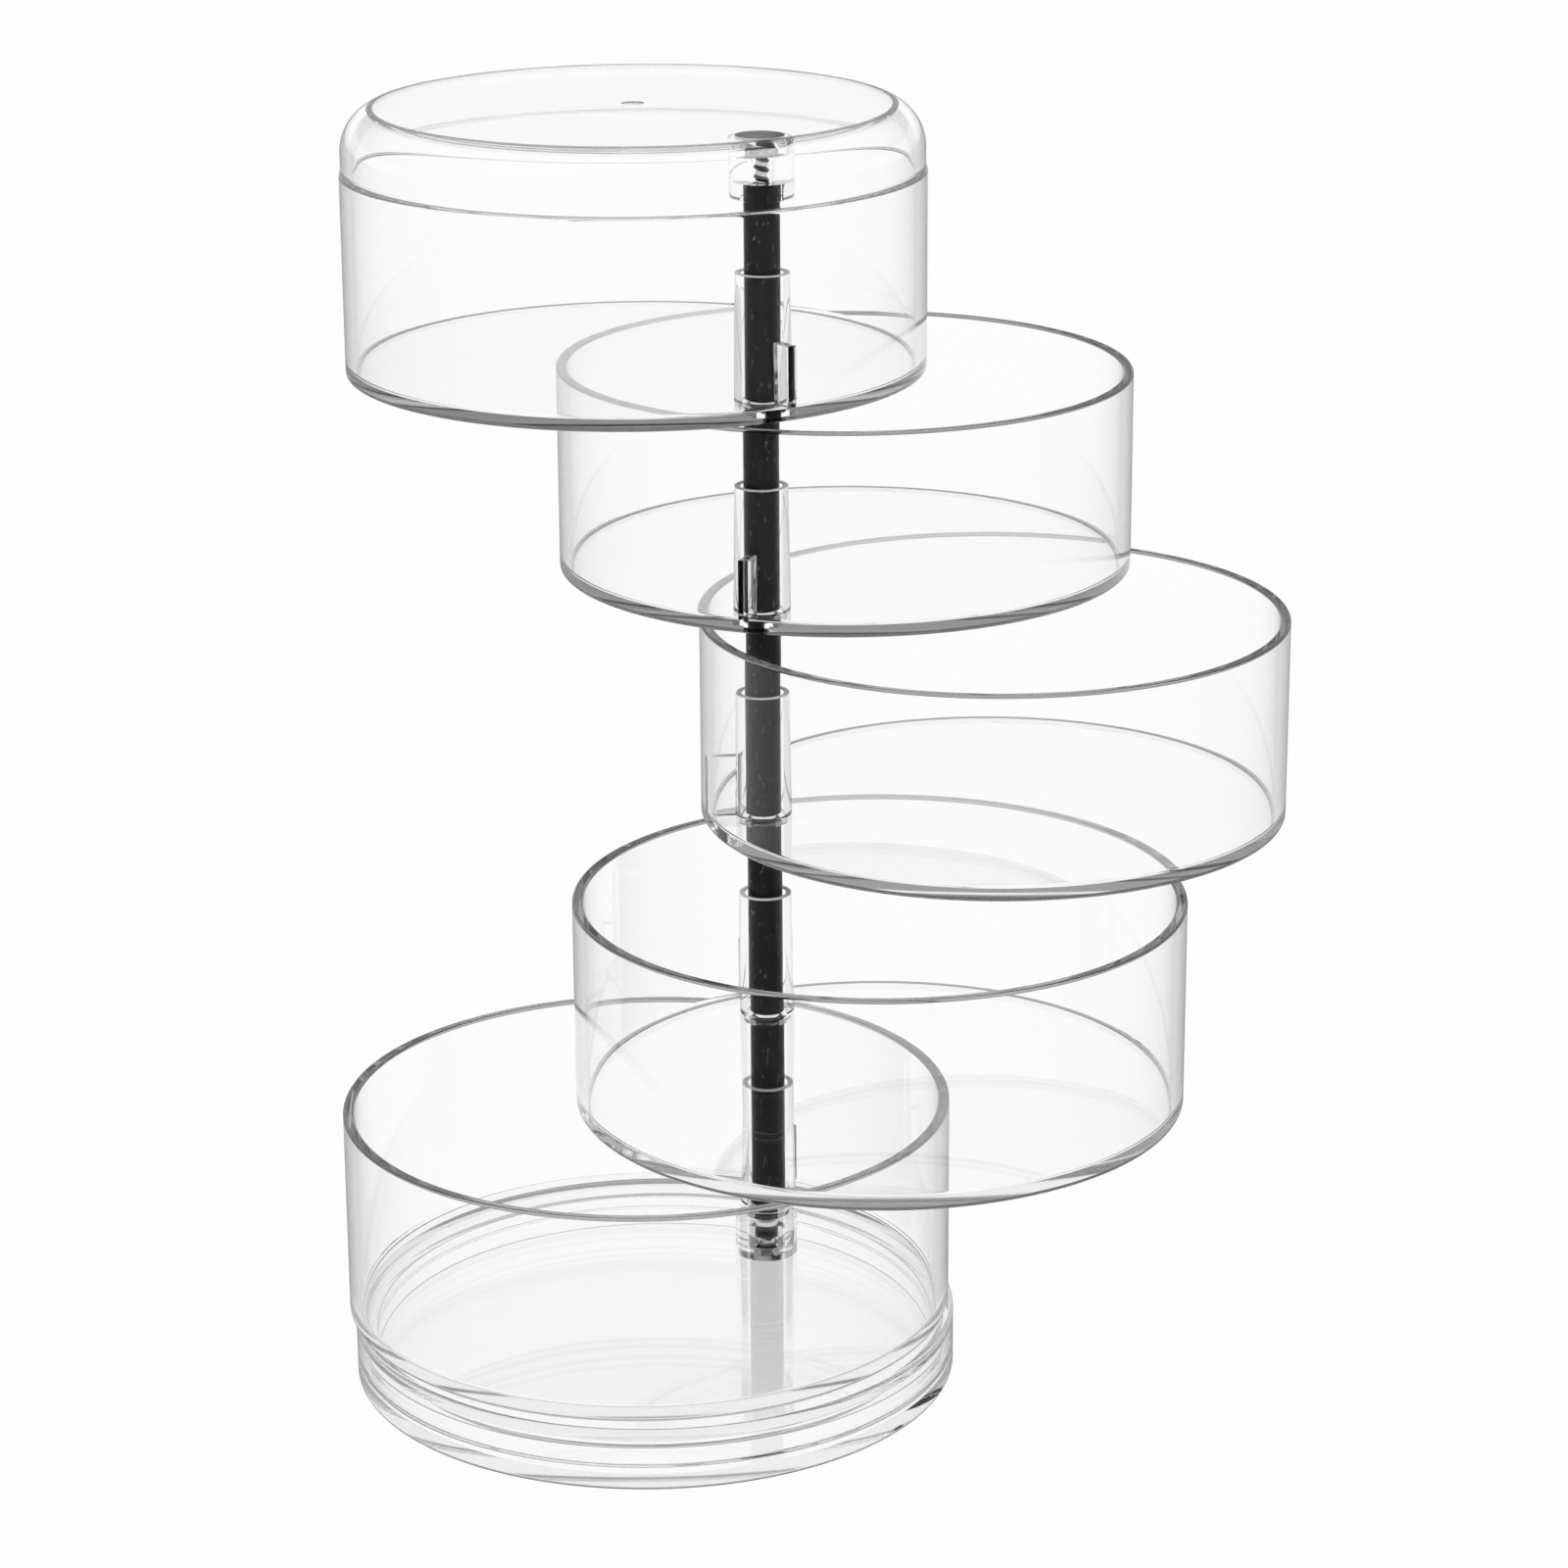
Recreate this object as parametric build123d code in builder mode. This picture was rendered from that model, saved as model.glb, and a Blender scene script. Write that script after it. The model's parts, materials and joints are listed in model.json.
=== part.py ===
from build123d import *
import os
from math import atan2, cos, degrees, radians, sin, sqrt

# Rotating jewelry box, in millimetres, +Z up.
# The origin is the centre of the base's underside, which stands on the table.
# Five round clear trays and a clear lid turn about one upright axle near their rims.
# The axle is a stack of five black rods, each plugged into the one below it.

# Trays
tray_diameter = 110.0
tray_height = 38.2
tray_wall = 2.0
tray_floor = 2.0
tray_gap = 1.2
tray_bottom_round = 0.9
tray_floor_round = 0.9
rim_round = 0.5

# Angle of each tray about the axle, top tray first, and of the base
tray_angles = [122.7, 68.7, 9.9, -62.1, -120.0]
base_angle = 241.5

# Axle, which stands this far inside the wall of every tray
axle_to_wall = 9.3
rod_diameter = 6.5
rod_end_chamfer = 0.3
spigot_diameter = 4.5
spigot_depth = 6.0
spigot_running_clearance = 0.08
socket_clearance = 0.03
tray_axial_play = 0.15

# Hub tube around the axle in each tray, and the rib that ties it to the wall
hub_height = 25.5
hub_top_diameter = 9.8
hub_foot_diameter = 10.5
hub_bore_diameter = 7.8
hub_top_round = 0.3
rib_thickness = 1.9
rib_height = 11.5
foot_diameter = 9.0

# Lid, a little narrower than the tray that it covers
lid_inset = 0.3
lid_height = 11.7
lid_shoulder_width = 5.5
lid_shoulder_height = 8.0
lid_wall = 2.0
lid_gap = 0.2
lid_edge_round = 0.3
lid_boss_diameter = 11.6
lid_boss_gap = 0.6
lid_socket_diameter = 7.8
lid_socket_depth = 2.7
lid_counterbore_diameter = 9.0
lid_counterbore_depth = 3.6
gate_mark_diameter = 4.3
gate_mark_depth = 0.3

# Screws at both ends of the axle
screw_diameter = 2.9
screw_head_diameter = 6.0
screw_head_height = 2.2
screw_head_round = 0.8
screw_recess_width = 0.9
screw_recess_length = 3.4
screw_recess_depth = 1.2
screw_tip_length = 1.5
screw_grip = 9.0
screw_hole_clearance = 0.15
pilot_clearance = 0.03
pilot_extra_depth = 1.0

# Base, a shallow dish closed by a cup turned upside down, a little narrower than the trays
base_inset = 0.1
base_height = 11.5
base_joint_height = 4.4
base_wall = 2.0
base_top_thickness = 2.5
base_floor = 2.0
base_lip_height = 3.0
base_lip_thickness = 1.8
base_lip_clearance = 0.1
base_boss_diameter = 12.0
base_edge_round = 0.8
base_counterbore_diameter = 7.0
base_counterbore_depth = 2.4

# One overrun for all cuts that pass through a face
overrun = 1.0

# Worked-out sizes
tray_count = len(tray_angles)
tray_radius = tray_diameter / 2
tray_inner_radius = tray_radius - tray_wall
tray_pitch = tray_height + tray_gap
axle_offset = tray_inner_radius - axle_to_wall
rod_radius = rod_diameter / 2
spigot_radius = spigot_diameter / 2
tray_bore_radius = spigot_radius + spigot_running_clearance
socket_radius = spigot_radius + socket_clearance
screw_radius = screw_diameter / 2
pilot_radius = screw_radius + pilot_clearance
screw_hole_radius = screw_radius + screw_hole_clearance
lid_radius = tray_radius - lid_inset
lid_flat_radius = lid_radius - lid_shoulder_width
base_radius = tray_radius - base_inset

# The base's centre is the origin, so the axle stands off to one side of it
axle_x = -axle_offset * cos(radians(base_angle))
axle_y = -axle_offset * sin(radians(base_angle))
axle_axis = Axis((axle_x, axle_y, 0), (0, 0, 1))

# Heights, where tray 1 is the top tray and the last tray is the lowest
rim_z = base_height + tray_count * tray_pitch
lid_bottom_z = rim_z + lid_gap
lid_top_z = lid_bottom_z + lid_height
lid_boss_z = lid_bottom_z + lid_boss_gap
axle_top_z = lid_boss_z + lid_socket_depth
lid_seat_z = lid_top_z - lid_counterbore_depth


def tray_bottom_z(number):
    return rim_z - tray_height - (number - 1) * tray_pitch


def level_plane(angle, height):
    """Level plane at a round piece's centre, with its X axis pointing away from the axle."""
    along = (cos(radians(angle)), sin(radians(angle)), 0)
    centre = (axle_x + axle_offset * along[0], axle_y + axle_offset * along[1], height)
    return Plane(origin=centre, x_dir=along, z_dir=(0, 0, 1))


def section_plane(x, y, angle, height):
    """Upright plane through (x, y), with its X axis outward at the angle and its Y axis up."""
    outward = (cos(radians(angle)), sin(radians(angle)), 0)
    sideways = (sin(radians(angle)), -cos(radians(angle)), 0)
    return Plane(origin=(x, y, height), x_dir=outward, z_dir=sideways)


def make_tray(number):
    angle = tray_angles[number - 1]
    bottom_z = tray_bottom_z(number)
    underside = level_plane(angle, bottom_z)
    floor_top = underside.offset(tray_floor)
    hub_length = hub_height - tray_floor
    hub_draft = degrees(atan2((hub_foot_diameter - hub_top_diameter) / 2, hub_length))
    rib_reach = tray_inner_radius + tray_wall / 2 - axle_offset
    with BuildPart() as tray:
        # Round cup with a flat floor
        with BuildSketch(underside):
            Circle(tray_radius)
        extrude(amount=tray_height)
        fillet(tray.edges().group_by(Axis.Z)[0], radius=tray_bottom_round)
        with BuildSketch(floor_top):
            Circle(tray_inner_radius)
        extrude(amount=tray_height - tray_floor, mode=Mode.SUBTRACT)
        fillet(tray.faces().filter_by(Plane.XY).sort_by(Axis.Z)[1].edges(), radius=tray_floor_round)
        fillet(tray.edges().group_by(Axis.Z)[-1], radius=rim_round)
        # Hub tube around the axle, wider at its foot
        with BuildSketch(floor_top):
            with Locations((-axle_offset, 0)):
                Circle(hub_foot_diameter / 2)
        extrude(amount=hub_length, taper=hub_draft)
        # Upright rib between the hub and the wall behind it
        with BuildSketch(floor_top):
            with Locations((-axle_offset, 0)):
                Rectangle(rib_reach, rib_thickness, align=(Align.MAX, Align.CENTER))
        extrude(amount=rib_height)
        # Foot under the floor, which rides on the rod below
        with BuildSketch(underside):
            with Locations((-axle_offset, 0)):
                Circle(foot_diameter / 2)
        extrude(amount=-tray_gap)
        # Wide bore in the hub, and a running bore through the floor and foot
        with BuildSketch(floor_top):
            with Locations((-axle_offset, 0)):
                Circle(hub_bore_diameter / 2)
        extrude(amount=hub_length + overrun, mode=Mode.SUBTRACT)
        with BuildSketch(underside.offset(-tray_gap - overrun)):
            with Locations((-axle_offset, 0)):
                Circle(tray_bore_radius)
        extrude(amount=tray_gap + tray_floor + overrun * 2, mode=Mode.SUBTRACT)
        # Rounded edges at the top of the hub
        hub_top = tray.faces().filter_by(Plane.XY).sort_by(Axis.Z)[-2]
        fillet(hub_top.edges(), radius=hub_top_round)
    tray.part.label = f"tray_{number}"
    return tray.part


def make_rod(number):
    """Black rod that stands in tray number and carries the tray or the lid above it."""
    shoulder_z = tray_bottom_z(number) + tray_floor + tray_axial_play
    top_z = axle_top_z if number == 1 else tray_bottom_z(number - 1) - tray_gap
    spigot_end_z = tray_bottom_z(number) - tray_gap - spigot_depth
    with BuildPart() as rod:
        with BuildSketch(Plane.XY.offset(shoulder_z)):
            with Locations((axle_x, axle_y)):
                Circle(rod_radius)
        extrude(amount=top_z - shoulder_z)
        chamfer(rod.edges().filter_by(GeomType.CIRCLE), length=rod_end_chamfer)
        with BuildSketch(Plane.XY.offset(spigot_end_z)):
            with Locations((axle_x, axle_y)):
                Circle(spigot_radius)
        extrude(amount=shoulder_z - spigot_end_z)
        chamfer(rod.edges().group_by(Axis.Z)[0], length=rod_end_chamfer)
        # The top rod takes the lid screw, and every other one the spigot above it
        top_hole_radius = pilot_radius if number == 1 else socket_radius
        top_hole_depth = screw_grip + pilot_extra_depth if number == 1 else spigot_depth
        with BuildSketch(Plane.XY.offset(top_z - top_hole_depth)):
            with Locations((axle_x, axle_y)):
                Circle(top_hole_radius)
        extrude(amount=top_hole_depth + overrun, mode=Mode.SUBTRACT)
        # The lowest rod takes the base screw from below
        if number == tray_count:
            with BuildSketch(Plane.XY.offset(spigot_end_z - overrun)):
                with Locations((axle_x, axle_y)):
                    Circle(pilot_radius)
            extrude(amount=overrun + screw_grip + pilot_extra_depth, mode=Mode.SUBTRACT)
    rod.part.label = f"axle_rod_{number}"
    return rod.part


def make_lid():
    angle = tray_angles[0]
    bottom = level_plane(angle, lid_bottom_z)
    shoulder_start = lid_height - lid_shoulder_height
    shoulder_radius = (lid_shoulder_width**2 + lid_shoulder_height**2) / (2 * lid_shoulder_width)
    inner_rise = lid_shoulder_height - lid_wall
    inner_run = sqrt((shoulder_radius - lid_wall) ** 2 - inner_rise**2)
    inner_flat_radius = lid_radius - shoulder_radius + inner_run
    ceiling = lid_height - lid_wall
    centre = bottom.origin
    with BuildPart() as lid:
        # Flat-topped cap whose shoulder is one arc, upright at the wall and crisp at the top
        with BuildSketch(section_plane(centre.X, centre.Y, angle, lid_bottom_z)):
            with BuildLine():
                Line((0, ceiling), (0, lid_height))
                Line((0, lid_height), (lid_flat_radius, lid_height))
                TangentArc((lid_radius, shoulder_start), (lid_flat_radius, lid_height), tangent=(0, 1))
                Line((lid_radius, shoulder_start), (lid_radius, 0))
                Line((lid_radius, 0), (lid_radius - lid_wall, 0))
                Line((lid_radius - lid_wall, 0), (lid_radius - lid_wall, shoulder_start))
                TangentArc(
                    (lid_radius - lid_wall, shoulder_start), (inner_flat_radius, ceiling), tangent=(0, 1)
                )
                Line((inner_flat_radius, ceiling), (0, ceiling))
            make_face()
        revolve(axis=Axis((centre.X, centre.Y, 0), (0, 0, 1)))
        fillet(lid.edges().group_by(Axis.Z)[0], radius=lid_edge_round)
        # Boss on the axle, hanging from the underside of the top
        with BuildSketch(bottom.offset(lid_boss_gap)):
            with Locations((-axle_offset, 0)):
                Circle(lid_boss_diameter / 2)
        extrude(amount=ceiling + lid_wall / 2 - lid_boss_gap)
        # Counterbore for the screw head, screw hole, and socket over the top rod
        with BuildSketch(bottom.offset(lid_height - lid_counterbore_depth)):
            with Locations((-axle_offset, 0)):
                Circle(lid_counterbore_diameter / 2)
        extrude(amount=lid_counterbore_depth + overrun, mode=Mode.SUBTRACT)
        with BuildSketch(bottom):
            with Locations((-axle_offset, 0)):
                Circle(screw_hole_radius)
        extrude(amount=lid_height, mode=Mode.SUBTRACT)
        with BuildSketch(bottom.offset(lid_boss_gap - overrun)):
            with Locations((-axle_offset, 0)):
                Circle(lid_socket_diameter / 2)
        extrude(amount=lid_socket_depth + overrun, mode=Mode.SUBTRACT)
        # Shallow round gate mark at the middle of the top
        with BuildSketch(bottom.offset(lid_height - gate_mark_depth)):
            Circle(gate_mark_diameter / 2)
        extrude(amount=gate_mark_depth + overrun, mode=Mode.SUBTRACT)
    lid.part.label = "lid"
    return lid.part


def make_screw(name, seat_z, end_z, towards_rod):
    """Pan head screw on the axle: towards_rod is -1 for the lid screw, 1 for the base screw."""
    seat = Plane(origin=(axle_x, axle_y, seat_z), x_dir=(1, 0, 0), z_dir=(0, 0, towards_rod))
    shank_length = abs(end_z - seat_z)
    head_outer = screw_head_diameter / 2
    with BuildPart() as screw:
        with BuildSketch(Plane(origin=seat.origin, x_dir=(1, 0, 0), z_dir=(0, -towards_rod, 0))):
            with BuildLine():
                Polyline(
                    (0, -screw_head_height),
                    (head_outer - screw_head_round, -screw_head_height),
                    (head_outer, -screw_head_height + screw_head_round),
                    (head_outer, 0),
                    (screw_radius, 0),
                    (screw_radius, shank_length - screw_tip_length),
                    (0, shank_length),
                    (0, -screw_head_height),
                )
            make_face()
        revolve(axis=axle_axis)
        # Cross recess in the head
        with BuildSketch(seat.offset(-screw_head_height + screw_recess_depth)):
            Rectangle(screw_recess_length, screw_recess_width)
            Rectangle(screw_recess_width, screw_recess_length)
        extrude(amount=-screw_recess_depth - overrun, mode=Mode.SUBTRACT)
    screw.part.label = name
    return screw.part


def make_base_top():
    joint = Plane.XY.offset(base_joint_height)
    cup_height = base_height - base_joint_height
    with BuildPart() as base_top:
        # Cup turned upside down, whose flat top lies under the lowest tray
        with BuildSketch(joint):
            Circle(base_radius)
        extrude(amount=cup_height)
        fillet(base_top.edges().group_by(Axis.Z)[-1], radius=base_edge_round)
        with BuildSketch(joint):
            Circle(base_radius - base_wall)
        extrude(amount=cup_height - base_top_thickness, mode=Mode.SUBTRACT)
        # Boss around the lowest spigot
        with BuildSketch(joint):
            with Locations((axle_x, axle_y)):
                Circle(base_boss_diameter / 2)
        extrude(amount=cup_height - base_top_thickness / 2)
        with BuildSketch(joint.offset(-overrun)):
            with Locations((axle_x, axle_y)):
                Circle(socket_radius)
        extrude(amount=cup_height + overrun * 2, mode=Mode.SUBTRACT)
    base_top.part.label = "base_top"
    return base_top.part


def make_base_bottom():
    lip_outer_radius = base_radius - base_wall - base_lip_clearance
    inner_radius = lip_outer_radius - base_lip_thickness
    with BuildPart() as base_bottom:
        # Dish with a raised lip that fits inside the cup above
        with BuildSketch():
            Circle(base_radius)
        extrude(amount=base_joint_height)
        fillet(base_bottom.edges().group_by(Axis.Z)[0], radius=base_edge_round)
        with BuildSketch(Plane.XY.offset(base_joint_height)):
            Circle(lip_outer_radius)
        extrude(amount=base_lip_height)
        with BuildSketch(Plane.XY.offset(base_floor)):
            Circle(inner_radius)
        extrude(amount=base_joint_height + base_lip_height, mode=Mode.SUBTRACT)
        # Boss that clamps against the boss above, with a counterbore for the screw head
        with BuildSketch(Plane.XY.offset(base_floor / 2)):
            with Locations((axle_x, axle_y)):
                Circle(base_boss_diameter / 2)
        extrude(amount=base_joint_height - base_floor / 2)
        with BuildSketch(Plane.XY.offset(-overrun)):
            with Locations((axle_x, axle_y)):
                Circle(screw_hole_radius)
        extrude(amount=base_joint_height + overrun * 2, mode=Mode.SUBTRACT)
        with BuildSketch(Plane.XY.offset(-overrun)):
            with Locations((axle_x, axle_y)):
                Circle(base_counterbore_diameter / 2)
        extrude(amount=base_counterbore_depth + overrun, mode=Mode.SUBTRACT)
    base_bottom.part.label = "base_bottom"
    return base_bottom.part


def make_all():
    lowest_spigot_z = base_height - spigot_depth
    parts = [make_lid(), make_base_top(), make_base_bottom()]
    parts.append(make_screw("lid_screw", lid_seat_z, axle_top_z - screw_grip, -1))
    parts.append(make_screw("base_screw", base_counterbore_depth, lowest_spigot_z + screw_grip, 1))
    for number in range(1, tray_count + 1):
        parts.append(make_tray(number))
        parts.append(make_rod(number))
    return parts


os.makedirs("parts", exist_ok=True)
for piece in make_all():
    export_step(piece, f"parts/{piece.label}.step")
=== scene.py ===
import json
import math
from math import cos, pi, radians, sin

import bmesh
import bpy
from mathutils import Matrix, Vector


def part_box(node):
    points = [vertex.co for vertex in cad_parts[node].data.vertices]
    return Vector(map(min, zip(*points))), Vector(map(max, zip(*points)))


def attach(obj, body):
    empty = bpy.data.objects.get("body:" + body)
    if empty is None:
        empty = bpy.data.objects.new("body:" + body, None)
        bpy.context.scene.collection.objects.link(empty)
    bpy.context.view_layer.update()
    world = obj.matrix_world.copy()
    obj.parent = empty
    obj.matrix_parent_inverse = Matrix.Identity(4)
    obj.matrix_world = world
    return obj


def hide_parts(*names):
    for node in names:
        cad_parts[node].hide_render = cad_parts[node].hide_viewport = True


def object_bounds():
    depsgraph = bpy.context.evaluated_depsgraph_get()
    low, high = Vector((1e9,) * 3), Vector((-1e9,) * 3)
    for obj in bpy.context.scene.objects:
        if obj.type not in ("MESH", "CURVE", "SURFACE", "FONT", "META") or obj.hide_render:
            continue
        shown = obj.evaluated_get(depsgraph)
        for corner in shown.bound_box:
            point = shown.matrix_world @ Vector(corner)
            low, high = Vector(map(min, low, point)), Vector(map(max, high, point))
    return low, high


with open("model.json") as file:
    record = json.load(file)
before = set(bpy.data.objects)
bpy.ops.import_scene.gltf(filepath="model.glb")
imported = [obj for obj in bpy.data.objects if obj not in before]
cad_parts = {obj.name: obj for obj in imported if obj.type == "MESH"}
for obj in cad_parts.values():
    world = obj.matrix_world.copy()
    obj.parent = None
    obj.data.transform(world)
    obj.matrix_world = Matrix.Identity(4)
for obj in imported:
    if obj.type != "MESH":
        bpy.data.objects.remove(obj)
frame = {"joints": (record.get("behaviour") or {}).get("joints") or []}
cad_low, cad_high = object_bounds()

# Rotating jewelry box: clear pieces, black axle rods and screws, each in the place of its CAD node.
# Lengths are in metres, and MM turns millimetres into them.
MM = 0.001

# Trays
TRAY_COUNT = 5
TRAY_RADIUS = 55.0 * MM
TRAY_HEIGHT = 38.2 * MM
TRAY_WALL = 2.0 * MM
TRAY_FLOOR = 2.0 * MM
TRAY_GAP = 1.2 * MM
TRAY_BOTTOM_ROUND = 0.9 * MM
TRAY_FLOOR_ROUND = 0.9 * MM
RIM_ROUND = 0.5 * MM
AXLE_OFFSET = 43.7 * MM

# Hub, rib and foot of each tray
HUB_HEIGHT = 25.5 * MM
HUB_TOP_RADIUS = 4.9 * MM
HUB_FOOT_RADIUS = 5.25 * MM
HUB_BORE_RADIUS = 3.9 * MM
HUB_TOP_ROUND = 0.15 * MM
RUNNING_BORE_RADIUS = 2.33 * MM
RIB_THICKNESS = 1.9 * MM
RIB_HEIGHT = 11.5 * MM
RIB_EDGE_ROUND = 0.25 * MM
FOOT_RADIUS = 4.5 * MM
FOOT_ROUND = 0.2 * MM

# Lid
LID_RADIUS = 54.7 * MM
LID_FLAT_RADIUS = 49.2 * MM
LID_HEIGHT = 11.7 * MM
LID_SHOULDER_HEIGHT = 8.0 * MM
LID_WALL = 2.0 * MM
LID_EDGE_ROUND = 0.3 * MM
LID_RING_WIDTH = 0.8 * MM
LID_BOSS_RADIUS = 5.8 * MM
LID_BOSS_GAP = 0.6 * MM
LID_SOCKET_RADIUS = 3.9 * MM
LID_SOCKET_DEPTH = 2.7 * MM
LID_COUNTERBORE_RADIUS = 4.5 * MM
LID_COUNTERBORE_DEPTH = 3.6 * MM
GATE_MARK_RADIUS = 2.15 * MM
GATE_MARK_DEPTH = 0.3 * MM

# Rods
ROD_RADIUS = 3.25 * MM
ROD_CHAMFER = 0.3 * MM
SPIGOT_RADIUS = 2.25 * MM
SPIGOT_DEPTH = 6.0 * MM
SOCKET_RADIUS = 2.28 * MM
AXIAL_PLAY = 0.15 * MM
PILOT_RADIUS = 1.48 * MM
PILOT_DEPTH = 10.0 * MM

# Screws
SCREW_HOLE_RADIUS = 1.6 * MM
THREAD_CREST_RADIUS = 1.45 * MM
THREAD_ROOT_RADIUS = 1.05 * MM
THREAD_PITCH = 1.76 * MM
HEAD_RADIUS = 3.0 * MM
HEAD_HEIGHT = 2.2 * MM
HEAD_ROUND = 0.8 * MM
RECESS_WIDTH = 0.9 * MM
RECESS_LENGTH = 3.4 * MM
RECESS_DEPTH = 1.2 * MM
TIP_LENGTH = 1.5 * MM
THREAD_FLANK = 0.3
THREAD_RUN_IN = 0.5
# Share of the thread's height above which its crest gets painted shade
SHADED_CREST_SHARE = 0.25

# Base
BASE_RADIUS = 54.9 * MM
BASE_HEIGHT = 11.5 * MM
BASE_JOINT_HEIGHT = 4.4 * MM
BASE_WALL = 2.0 * MM
BASE_TOP_THICKNESS = 2.5 * MM
BASE_FLOOR = 2.0 * MM
BASE_LIP_HEIGHT = 3.0 * MM
BASE_LIP_THICKNESS = 1.8 * MM
BASE_LIP_CLEARANCE = 0.1 * MM
BASE_BOSS_RADIUS = 6.0 * MM
BASE_EDGE_ROUND = 0.8 * MM
BASE_COUNTERBORE_RADIUS = 3.5 * MM
BASE_COUNTERBORE_DEPTH = 2.4 * MM
JOINT_ROUND = 0.2 * MM

# Places of the materials of a piece: its plain surface, painted shade on thin outlines and thread crests,
# matt faces, and painted shade on lines
PLAIN, PAINTED_EDGE_SHADE, MATT, PAINTED_LINE_SHADE = range(4)

# Mesh fineness
ROUND_STEPS = 8
SHOULDER_STEPS = 24
WIDE_SEGMENTS = 256
NARROW_SEGMENTS = 96
THREAD_SEGMENTS = 48
THREAD_ROWS_PER_TURN = 20
SHARP_ANGLE = radians(16)

# Small distances: beside a rounding, past the end of a cut, between touching pieces, and within one point
HOLD = 0.04 * MM
OVERRUN = 1.0 * MM
SEAM = 0.03 * MM
SAME_PLACE = HOLD / 10

# Grain of the surfaces: features per metre, octaves, and how the features are stretched
MOULD_WAVES = (60, 2)
MOULD_RIPPLES = (45, 1)
MATT_GRAIN = (2500, 3)
DRAW_MARKS = (900, 3, (1, 1, 0.04))
SCUFF_MARKS = (1600, 2, (1, 1, 0.4))
ROD_SHEEN = (400, 4)
STEEL_GRAIN = (1500, 4)
NOISE_LOW, NOISE_HIGH = 0.3, 0.7

# Roughness of the surfaces, from their smoothest to their roughest places
POLISHED = (0.0, 0.02)
DULLED = (0.25, 0.35)
UNPOLISHED = (0.4, 0.6)
ROD_ROUGHNESS = (0.28, 0.45)
STEEL_ROUGHNESS = (0.12, 0.28)

# Bump of the surfaces: strength and height
MOULD_BUMP = (0.05, 0.2 * MM)
MATT_BUMP = (0.2, 0.03 * MM)
ROD_BUMP = (0.15, 0.05 * MM)
STEEL_BUMP = (0.1, 0.03 * MM)

# Clear plastic
PLASTIC_IOR = 1.5
PLAIN_TINT = (1.0, 1.0, 1.0)
# Darker tint for painted shade: dark outlines on tray rims, tray bottom edges and the base's bottom edge
EDGE_SHADE_TINT = (0.22, 0.22, 0.227)
# Darker tint for painted shade: dark lines at the lid's counterbore, flat-top edge and bottom edge
LINE_SHADE_TINT = (0.5, 0.5, 0.51)
MATT_WHITE = 0.97
MATT_CLEARNESS = 0.1
SPECULAR_TINT = 0.05
ABSORPTION_COLOUR = (0.0, 0.01, 0.02)
ABSORPTION_DENSITY = 0.8

# Black plastic and steel: (noise, brightness) stops, and (darkest, lightest)
ROD_BLACKS = ((0.35, 0.001), (0.7, 0.01))
SCUFF_STOPS = ((0.64, 0.0), (0.72, 1.0))
SCUFF_GREY = 0.12
ROD_SPECULAR = 0.2
STEEL_GREYS = (0.5, 0.75)
# Darker steel greys, painted shade on the thread crests and the head top
STEEL_SHADE_GREYS = (0.05, 0.16)

# Camera, from a fit to the round edges in the photograph, with distances from the axle
CAMERA_DISTANCE = 0.791782
CAMERA_HEIGHT = 0.351020
CAMERA_PITCH_DOWN = radians(17.67)
CAMERA_YAW_RIGHT = radians(0.264)
CAMERA_ROLL = radians(-0.342)
CAMERA_LENS = 102.187
SENSOR_WIDTH = 36.0

# Share of the white background that a ray sees after so many reflections inside the plastic
DEEPEST = 16
THROUGH_SHARES = ((0, 1.0), (1, 1.0), (2, 0.4), (3, 0.08), (5, 0.08), (7, 0.25), (11, 0.35), (12, 0.95))
THROUGH_DARKNESS = 0.9
FLOOR_REFLECTED = 0.15
FLOOR_DROP = 0.1 * MM
FLOOR_WHITE = 0.98
BACKDROP_WHITE = 0.984

# Floor
FLOOR_HALF = 8.0
FLOOR_GREY = 0.3
FLOOR_ROUGHNESS = 0.9
FLOOR_SPECULAR = 0.1

# Lamps: place, width and height, and watts
KEY_LAMP = ((-0.9, -0.7, 1.5), (0.8, 0.8), 8)
SIDE_LAMP = ((1.3, 0.1, 0.8), (0.4, 1.2), 4)

# Bounces that a ray needs to pass through all the walls
BOUNCES = 96
CLEAR_BOUNCES = 64

# Light of the studio by height of direction, from 0 straight down over 0.5 level to 1 straight up
BACKDROP_LIGHTS = ((0.588, 1.0), (0.604, 0.12))
ROOM_LIGHTS = ((0.5, 0.25), (0.65, 0.3), (0.85, 0.95))


# Mesh helpers
def rounded(corners):
    """Outline of (radius, height) points from corners (radius, height, rounding).

    A rounded corner gets an arc, and a point just outside each end that keeps the sides' normals true."""
    outline = []
    for k, (across, height, rounding) in enumerate(corners):
        corner = Vector((across, height))
        if not rounding:
            outline.append(corner)
            continue
        before = (Vector(corners[k - 1][:2]) - corner).normalized()
        after = (Vector(corners[(k + 1) % len(corners)][:2]) - corner).normalized()
        half_angle = before.angle(after) / 2
        reach = rounding / math.tan(half_angle)
        centre = corner + (before + after).normalized() * rounding / sin(half_angle)
        start = corner + before * reach - centre
        end = corner + after * reach - centre
        outline.append(centre + start + before * HOLD)
        for step in range(ROUND_STEPS + 1):
            outline.append(centre + start.slerp(end, step / ROUND_STEPS) * start.length)
        outline.append(centre + end + after * HOLD)
    return outline


def arc(centre, radius, first, last, steps):
    """Points on an arc, between two angles in radians."""
    angles = [first + (last - first) * step / steps for step in range(steps + 1)]
    return [Vector((centre[0] + radius * cos(a), centre[1] + radius * sin(a))) for a in angles]


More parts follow.
